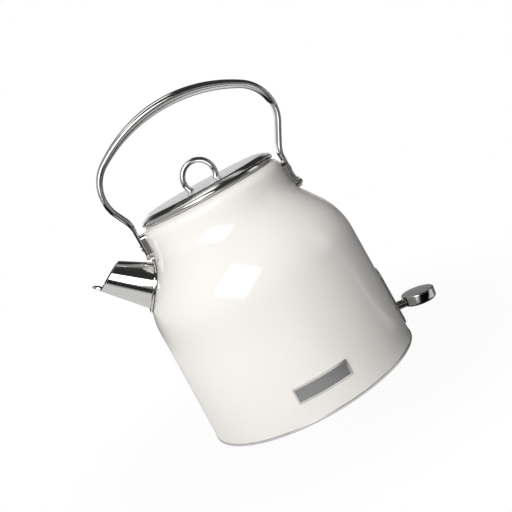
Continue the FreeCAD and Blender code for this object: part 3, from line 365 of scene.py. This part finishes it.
def flat_oval(width, wall, fullness, steps=48):
    """A section (across, out) between an oval, at a fullness of 1, and a box."""
    points = []
    for k in range(steps):
        across, out = math.cos(2 * math.pi * k / steps), math.sin(2 * math.pi * k / steps)
        across = math.copysign(abs(across) ** (1 / fullness), across)
        out = math.copysign(abs(out) ** (1 / fullness), out)
        points.append(Vector((across * width / 2, out * wall / 2)))
    return points


def sweep(mesh, stations):
    """Add a bar along stations in the upright plane, each a place, direction and section."""
    across = Vector((0, 1, 0))
    rings = []
    for place, along, *section in stations:
        out = across.cross(along).normalized()
        rings.append([mesh.verts.new(place + across * a + out * b) for a, b in flat_oval(*section)])
    for first, second in zip(rings, rings[1:]):
        for k in range(len(first)):
            mesh.faces.new([first[k - 1], first[k], second[k], second[k - 1]])
    mesh.faces.new(rings[0])
    mesh.faces.new(list(reversed(rings[-1])))


def spaced(points, count):
    """Places, directions and shares of the way at even steps along points in the upright plane."""
    line = [Vector((x, 0, z)) for x, z in points]
    reach = [0.0]
    for a, b in zip(line, line[1:]):
        reach.append(reach[-1] + (b - a).length)
    made = []
    for k in range(count):
        goal = reach[-1] * k / (count - 1)
        i = max(j for j in range(len(line) - 1) if reach[j] <= goal + 1e-12)
        part = (goal - reach[i]) / (reach[i + 1] - reach[i])
        made.append(line[i].lerp(line[i + 1], part))
    ends = [made[0] * 2 - made[1]] + made + [made[-1] * 2 - made[-2]]
    return [(made[k], (ends[k + 2] - ends[k]).normalized(), k / (count - 1)) for k in range(count)]


arch_line = rounded([
    (-TUBE_PLACE, 0.173, 0),
    (-TUBE_PLACE, 0.180, FOOT_ROUND),
    (-0.0817, 0.2173, CORNER_ROUND),
    (0.0005, 0.2690, CROWN_ROUND),
    (0.0873, 0.2219, CORNER_ROUND),
    (TUBE_PLACE, 0.1745, FOOT_ROUND),
    (TUBE_PLACE, 0.169, 0),
], BEND_STEP)
handle_mesh = bmesh.new()
arch_length = sum((b - a).length for a, b in zip(arch_line, arch_line[1:]))
arch = []
for place, along, share in spaced(arch_line, ARCH_STEPS):
    swell = math.sin(math.pi * share) ** 4
    width = END_WIDTH + (ARCH_WIDTH - END_WIDTH) * swell
    ease = min(min(share, 1 - share) * arch_length / PRESSED_LENGTH, 1)
    flat = 1 - ease * ease * (3 - 2 * ease)
    loss = (END_WALL - STRAP_WALL) * flat
    wall = END_WALL + (ARCH_WALL - END_WALL) * swell - loss
    fullness = ARCH_FULLNESS + (STRAP_FULLNESS - ARCH_FULLNESS) * flat
    place = place - Vector((0, 1, 0)).cross(along) * loss / 2
    arch.append((place, along, width, wall, fullness))
sweep(handle_mesh, arch)
strap_offset = SADDLE_WALL + STRAP_WALL / 2
strap_radius = NECK_RADIUS + strap_offset
strap_corner = NECK_HEIGHT + strap_offset * math.tan(NECK_SLOPE / 2)
strap_end = (
    strap_radius + NECK_ROUND * math.sin(NECK_SLOPE),
    strap_corner - NECK_ROUND * math.cos(NECK_SLOPE),
)
for sign, (high, low) in ((-1, FRONT_STRAP), (1, REAR_STRAP)):
    run = rounded([
        (strap_radius, high, 0),
        (strap_radius, strap_corner, NECK_ROUND - strap_offset),
        (*strap_end, 0),
    ], BEND_STEP)
    kept = [Vector((sign * radius, height)) for radius, height in run if height >= low]
    length = sum((b - a).length for a, b in zip(kept, kept[1:]))
    strap = []
    for place, along, share in spaced(kept, STRAP_STEPS):
        left = max(STRAP_ROUND - (1 - share) * length, 0)
        inset = STRAP_ROUND - math.sqrt(max(STRAP_ROUND ** 2 - left ** 2, 0))
        strap.append((place, along, END_WIDTH - 2 * inset, STRAP_WALL, STRAP_FULLNESS))
    sweep(handle_mesh, strap)
bmesh.ops.recalc_face_normals(handle_mesh, faces=handle_mesh.faces)
handle = piece("handle_arch", handle_mesh, "kettle", "handle")
handle.data.materials.append(polished_steel.material)


# Lid
# A thin polished cap of steel with a rolled edge and a satin top. It hides a pressed plug with a
# soft ring, which closes the mouth, and has a bent wire ring to lift it by.
lid_low, lid_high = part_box("lid_cover")
LID_RADIUS = 0.0573
LID_WALL = 0.0009
LID_FLAT = 0.0500
LID_FLAT_ROUND = 0.010
LID_BEVEL = math.radians(27)
LID_EDGE = lid_high[2] - (LID_RADIUS - LID_FLAT) * math.tan(LID_BEVEL)
LID_EDGE_ROUND = 0.0030
LID_LIP = 0.0033
LID_LIP_ROUND = 0.0011
lid_inner_edge = LID_EDGE - LID_WALL * math.tan(math.pi / 4 - LID_BEVEL / 2)
lid_inner_flat = LID_FLAT - LID_WALL * math.tan(LID_BEVEL / 2)
lid_outline = rounded([
    (0, lid_high[2], 0),
    (LID_FLAT, lid_high[2], LID_FLAT_ROUND),
    (LID_RADIUS, LID_EDGE, LID_EDGE_ROUND),
    (LID_RADIUS, lid_low[2], LID_LIP_ROUND),
    (LID_RADIUS - LID_LIP, lid_low[2], 0),
    (LID_RADIUS - LID_LIP, lid_low[2] + LID_WALL, 0),
    (LID_RADIUS - LID_WALL, lid_low[2] + LID_WALL, 0),
    (LID_RADIUS - LID_WALL, lid_inner_edge, LID_EDGE_ROUND - LID_WALL),
    (lid_inner_flat, lid_high[2] - LID_WALL, LID_FLAT_ROUND - LID_WALL),
    (0, lid_high[2] - LID_WALL, 0),
], math.radians(4))
lid_cap = piece("lid_cap", lathe(lid_outline, FINE_TURNS), "lid", "lid_cover")
satin_steel = Finish("satin steel")
spin = satin_steel.noise(420.0, 3.0, 0.6)
satin_steel.coat(
    Base_Color=satin_steel.blend(spin, (0.80, 0.797, 0.79, 1), (0.88, 0.877, 0.87, 1)),
    Roughness=0.24 + spin * 0.10,
    Metallic=1.0,
    Normal=satin_steel.bump(spin, 0.00001, 0.08),
)
LEVEL_TO = math.cos(math.radians(7))
lid_cap.data.materials.append(polished_steel.material)
lid_cap.data.materials.append(satin_steel.material)
for face in lid_cap.data.polygons:
    face.material_index = 1 if face.normal.z > LEVEL_TO else 0


# Switch
# A round steel stem comes out through a slot in the wall and carries a thick turned disc, pressed
# by hand. The stem turns on a pin behind the wall.
PIVOT = Vector((0.074, 0, 0.0206))
DROOP = math.radians(6.6)
PADDLE_RADIUS = 0.0138
PADDLE_THICKNESS = 0.009
PADDLE_TOP_ROUND = 0.0010
PADDLE_LOW_ROUND = 0.0024
PADDLE_TURNS = 128
PADDLE_REACH = 0.036
PADDLE_LIFT = 0.0009
paddle_mesh = lathe(rounded([
    (0, -PADDLE_THICKNESS / 2, 0),
    (PADDLE_RADIUS, -PADDLE_THICKNESS / 2, PADDLE_LOW_ROUND),
    (PADDLE_RADIUS, PADDLE_THICKNESS / 2, PADDLE_TOP_ROUND),
    (0, PADDLE_THICKNESS / 2, 0),
], math.radians(8)), PADDLE_TURNS)
lever_turn = Matrix.Translation(PIVOT) @ Matrix.Rotation(DROOP, 4, "Y")
paddle_place = lever_turn @ Matrix.Translation((PADDLE_REACH, 0, PADDLE_LIFT))
bmesh.ops.transform(paddle_mesh, matrix=paddle_place, verts=paddle_mesh.verts)
paddle = piece("paddle_disc", paddle_mesh, "switch", "switch_paddle")
brushed_steel = Finish("brushed steel")
stroke = brushed_steel.noise(260.0, 4.0, 0.65, (1, 0.04, 1))
brushed_steel.coat(
    Base_Color=brushed_steel.blend(stroke, (0.48, 0.48, 0.48, 1), (0.62, 0.62, 0.615, 1)),
    Roughness=0.30 + stroke * 0.15,
    Metallic=1.0,
    Normal=brushed_steel.bump(stroke, 0.00003, 0.2),
)
PADDLE_TOP_TO = math.cos(math.radians(18.2))
paddle.data.materials.append(polished_steel.material)
paddle.data.materials.append(brushed_steel.material)
for face in paddle.data.polygons:
    face.material_index = 1 if face.normal.z > PADDLE_TOP_TO else 0


# Black mouldings
# The base cover, the control's housing and the switch bracket, moulded in heat-proof black plastic
# with a fine matt grain. Screws hold the cover and the housing.
black_moulding = Finish("black moulding")
pores = black_moulding.noise(1400.0, 2.0)
black_moulding.coat(
    Base_Color=black_moulding.blend(pores, (0.012, 0.012, 0.012, 1), (0.03, 0.03, 0.029, 1)),
    Roughness=0.42 + pores * 0.2,
    Normal=black_moulding.bump(pores, 0.00005, 0.3),
)


# Soft rings
# Silicone rings under the spout's flange, round the lid's plug and the steam tube and behind the
# handle's screws. They are moulded, and the metal beside them holds them in place.
silicone = Finish("silicone")
bloom = silicone.noise(120.0, 3.0)
silicone.coat(
    Base_Color=silicone.blend(bloom, (0.05, 0.05, 0.049, 1), (0.09, 0.09, 0.088, 1)),
    Roughness=0.5 + bloom * 0.2,
    Normal=silicone.bump(bloom, 0.00005, 0.2),
)


# Heater
# A pressed alloy plate under the pan spreads the heat of a bent tube, the element, brazed to it.
# The element's steel sheath has darkened in the heat.
alloy = Finish("spreader alloy")
roll = alloy.noise(300.0, 3.0, 0.5, (0.05, 1, 1))
alloy.coat(
    Base_Color=alloy.blend(roll, (0.62, 0.63, 0.64, 1), (0.74, 0.75, 0.76, 1)),
    Roughness=0.35 + roll * 0.2,
    Metallic=1.0,
    Normal=alloy.bump(roll, 0.00004, 0.2),
)
sheath = Finish("element sheath")
scale = sheath.noise(160.0, 4.0)
sheath.coat(
    Base_Color=sheath.blend(scale, (0.16, 0.15, 0.145, 1), (0.30, 0.28, 0.26, 1)),
    Roughness=0.4 + scale * 0.2,
    Metallic=0.9,
    Normal=sheath.bump(scale, 0.00005, 0.3),
)


# Contacts and snap discs
# A turned brass pin and two rings bring the current in from below. Small domed discs of two metals
# rolled together snap over when they get hot.
brass = Finish("contact brass")
tarnish = brass.noise(220.0, 4.0)
brass.coat(
    Base_Color=brass.blend(tarnish, (0.60, 0.44, 0.17, 1), (0.76, 0.58, 0.26, 1)),
    Roughness=0.2 + tarnish * 0.2,
    Metallic=1.0,
    Normal=brass.bump(tarnish, 0.00003, 0.2),
)
snap_metal = Finish("snap metal")
heat = snap_metal.noise(180.0, 3.0)
snap_metal.coat(
    Base_Color=snap_metal.blend(heat, (0.42, 0.30, 0.20, 1), (0.58, 0.46, 0.33, 1)),
    Roughness=0.28 + heat * 0.2,
    Metallic=1.0,
    Normal=snap_metal.bump(heat, 0.00003, 0.2),
)


# Badge plate
# A pressed steel plate, fixed flat on the wall, with a polished frame round a grey field. The
# field is finely matt and bare.
badge_finish = Finish("badge plate")
across, _, up = badge_finish.split(badge_finish.place())
FIELD_HEIGHT = 0.0239
FIELD_ENDS = (0.0208, 0.0206)
FIELD_SIDES = (0.0049, 0.0047)
field = badge_finish.fade(abs(across), *FIELD_ENDS)
field = field * badge_finish.fade(abs(up - FIELD_HEIGHT), *FIELD_SIDES)
speck = badge_finish.noise(1500.0, 2.0)
field_grey = badge_finish.blend(speck, (0.30, 0.30, 0.30, 1), (0.38, 0.38, 0.378, 1))
badge_finish.coat(
    Base_Color=badge_finish.blend(field, (0.80, 0.795, 0.785, 1), field_grey),
    Roughness=0.07 + field * 0.33,
    Metallic=1.0,
    Normal=badge_finish.bump(speck, 0.00002, 0.15),
)


# Pieces that keep their turned and pressed shapes
# Spout, saddles, plates, screws, lever and everything inside, each in the metal or moulding it is
# made of. The switch plate is satin, as the lid's top is.
finishes = {
    "cream_enamel": enamel,
    "polished_steel": polished_steel,
    "inner_steel": drawn_steel,
    "black_moulding": black_moulding,
    "silicone": silicone,
    "spreader_alloy": alloy,
    "element_sheath": sheath,
    "contact_brass": brass,
    "snap_metal": snap_metal,
}
own_finishes = {"badge_plate": badge_finish, "switch_plate": satin_steel}
PRESSED_EDGE_ANGLE = math.radians(30)
for part in frame["record"]["subparts"]:
    node = frame["nodes"][part["node"]]
    finish = own_finishes.get(part["node"]) or finishes[part["material_slot"]]
    node.data.materials.clear()
    node.data.materials.append(finish.material)
    node.data.shade_smooth()
    node.data.set_sharp_from_angle(angle=PRESSED_EDGE_ANGLE)


# Studio
# A paper floor, seen white by the lens, whose own colour is a painted shade that darkens it to the right;
# one leaning window panel at the front left and soft light all round.
# Polished metal mirrors a grey left wall, a pale backdrop, a bright ceiling and a floor that
# darkens to the right; that floor is a painted reflection, a glow with a painted bright patch by the
# switch.
def rays(finish):
    """1 for rays that come straight from the lens, off a mirror and through glass."""
    path = finish.node("ShaderNodeLightPath", {}).output.node.outputs
    return [Signal(finish, path["Is %s Ray" % kind]) for kind in ("Camera", "Glossy", "Transmission")]


floor_mesh = bmesh.new()
bmesh.ops.create_grid(floor_mesh, x_segments=1, y_segments=1, size=3.0)
floor_data = bpy.data.meshes.new("floor")
floor_mesh.to_mesh(floor_data)
floor_mesh.free()
floor = bpy.data.objects.new("floor", floor_data)
bpy.context.collection.objects.link(floor)
paper = Finish("floor paper")
fibre = paper.noise(60.0, 2.0)
side, depth, _ = paper.split(paper.place())
# Painted shade: the paper's own colour falls from grey on the left to near black on the right, so less
# light bounces onto the kettle's right side. The lens sees the floor white.
painted_shade_tone = paper.fade(side, 0.10, -0.05) * 0.36 + 0.02 * fibre + 0.04
sheet = paper.node("ShaderNodeBsdfPrincipled", {}, Base_Color=painted_shade_tone, Roughness=0.9)
straight, glossy, clear = rays(paper)
reach = paper.node("ShaderNodeVectorMath", {"operation": "LENGTH"}, paper.place(), out="Value")
white_share = 0.96 + 0.04 * paper.fade(reach, 0.12, 0.26)
# As mirrors see it, the floor is a glow and not lit paper: a painted reflection, pale near the kettle, dark
# to the right and faint far off.
far = paper.fade(reach, 0.36, 0.60)
painted_dark_patch = paper.fade(side, 0.04, 0.10) * (0.8 + 0.2 * paper.fade(depth, 0.02, -0.03))
near_light = (1 - far) * (0.70 - 0.70 * painted_dark_patch)
far_light = far * 0.15 * paper.fade(side, -0.35, -0.10)
# Painted highlight: a bright patch of the glow beside the switch, which mirrors show as a painted glint on
# the paddle's rim and on the hem near it.
painted_glint_patch = paper.fade(side, 0.125, 0.145) * paper.fade(depth, -0.045, -0.03)
painted_glint_patch = painted_glint_patch * paper.fade(depth, 0.004, -0.008)
lit = 1 - glossy * (1 - near_light - far_light - 0.6 * painted_glint_patch)
glow = paper.node("ShaderNodeEmission", {}, Color=lit, Strength=1.0)
seen = (straight + clear) * white_share + 0.97 * glossy
paper.close(paper.node("ShaderNodeMixShader", {}, seen, sheet, glow))
floor.data.materials.append(paper.material)

WINDOW_PLACE = Vector((-0.337, -0.801, 0.606))
WINDOW_AIM = Vector((0, 0, 0.12))
WINDOW_LEAN = Vector((0.736, 0.049, 0.675))
WINDOW_SIZE = (0.68, 0.74)
WINDOW_POWER = 4.4
window_data = bpy.data.lights.new("window panel", "AREA")
window_data.shape = "RECTANGLE"
window_data.size, window_data.size_y = WINDOW_SIZE
window_data.energy = WINDOW_POWER
window = bpy.data.objects.new("window panel", window_data)
behind = (WINDOW_PLACE - WINDOW_AIM).normalized()
along = WINDOW_LEAN.cross(behind).normalized()
window.matrix_world = Matrix((along, behind.cross(along), behind)).transposed().to_4x4()
window.location = WINDOW_PLACE
bpy.context.collection.objects.link(window)

studio = Finish("studio", bpy.data.worlds)
bearing = studio.node("ShaderNodeTexCoord", {}, out="Generated")
east, north, height = studio.split(bearing)
turn = studio.node("ShaderNodeMath", {"operation": "ARCTAN2"}, east, 0 - north)


def stretch(amount, low, high, soft):
    """1 between two amounts, fading to 0 outside them."""
    return studio.fade(amount, low - soft, low + soft) * (1 - studio.fade(amount, high - soft, high + soft))


left_wall = stretch(turn, -2.75, -0.85, 0.10) * stretch(height, -0.8, 0.92, 0.04)
backdrop = studio.fade(north, 0.86, 0.93) * (1 - 0.9 * studio.fade(height, 0.12, 0.40))
backdrop = backdrop * (1 - 0.5 * studio.fade(east, 0.10, 0.25))
ceiling = stretch(east, -0.33, 0.12, 0.04) * stretch(north, 0.02, 0.60, 0.04)
ceiling = ceiling * studio.fade(height, 0.0, 0.1)
far_front = stretch(turn, -0.35, 0.80, 0.15) * stretch(height, -0.2, 0.25, 0.08)
right_wall = stretch(turn, 0.90, 2.10, 0.15) * stretch(height, -0.2, 0.32, 0.06)
right_window = stretch(turn, 1.25, 1.60, 0.06) * stretch(height, -0.5, 0.45, 0.06)
mirrored = 0.03 + (left_wall * 0.35 + backdrop * 0.95 + ceiling * 1.2)
mirrored = mirrored + far_front * 0.15 + right_wall * 0.12 + right_window * 0.8
soft_front = stretch(turn, -0.78, -0.26, 0.2) * studio.fade(height, 0.55, -0.05)
soft_left = stretch(turn, -2.8, -1.7, 0.15) * stretch(height, -0.05, 0.28, 0.1)
soft_right = stretch(turn, 0.0, 0.4, 0.15) * stretch(height, -0.2, 0.2, 0.1)
soft_top = stretch(turn, 1.0, 2.7, 0.2) * studio.fade(height, 0.72, 0.88)
soft_back = studio.fade(north, 0.60, 0.80) * stretch(height, 0.0, 0.7, 0.1) * studio.fade(east, 0.4, 0.1)
soft_light = soft_front * 8.6 + soft_left * 4.4 + soft_right * 7.2
soft_light = soft_light + soft_top * 4.0 + soft_back * 2.4
straight, glossy, clear = rays(studio)
room = glossy * mirrored + (1 - glossy) * soft_light
shown = studio.node("ShaderNodeMath", {"operation": "MAXIMUM"}, straight, clear)
dim = studio.node("ShaderNodeBackground", {}, room, 1.0)
white = studio.node("ShaderNodeBackground", {}, (1, 1, 1, 1), 1.0)
studio.close(studio.node("ShaderNodeMixShader", {}, shown, dim, white), "ShaderNodeOutputWorld")
bpy.context.scene.world = studio.material


# Camera
# It stands a little above the kettle's middle, close enough for a strong perspective, and is
# rolled, so that the upright kettle looks tipped.
VIEW_AZIMUTH = math.radians(-4.8)
VIEW_ELEVATION = math.radians(9.24)
VIEW_ROLL = math.radians(-28.82)
VIEW_DISTANCE = 0.700
AIM_ACROSS = 0.00887
AIM_HEIGHT = 0.1123
FILM_WIDTH = 36.0
PICTURE_PIXELS = 512
FOCAL_PIXELS = 888
level = Vector((math.cos(VIEW_AZIMUTH), math.sin(VIEW_AZIMUTH), 0))
ahead = Vector((-math.sin(VIEW_AZIMUTH), math.cos(VIEW_AZIMUTH), 0))
back = Vector((0, 0, math.sin(VIEW_ELEVATION))) - ahead * math.cos(VIEW_ELEVATION)
right = level * math.cos(VIEW_ROLL) + back.cross(level) * math.sin(VIEW_ROLL)
stance = Matrix((right, back.cross(right), back)).transposed().to_4x4()
aim = level * AIM_ACROSS + Vector((0, 0, AIM_HEIGHT))
camera_data = bpy.data.cameras.new("camera")
camera_data.sensor_width = FILM_WIDTH
camera_data.lens = FILM_WIDTH * FOCAL_PIXELS / PICTURE_PIXELS
camera = bpy.data.objects.new("camera", camera_data)
camera.matrix_world = Matrix.Translation(aim + back * VIEW_DISTANCE) @ stance
bpy.context.collection.objects.link(camera)
bpy.context.scene.camera = camera
bpy.context.scene.view_settings.view_transform = "Standard"
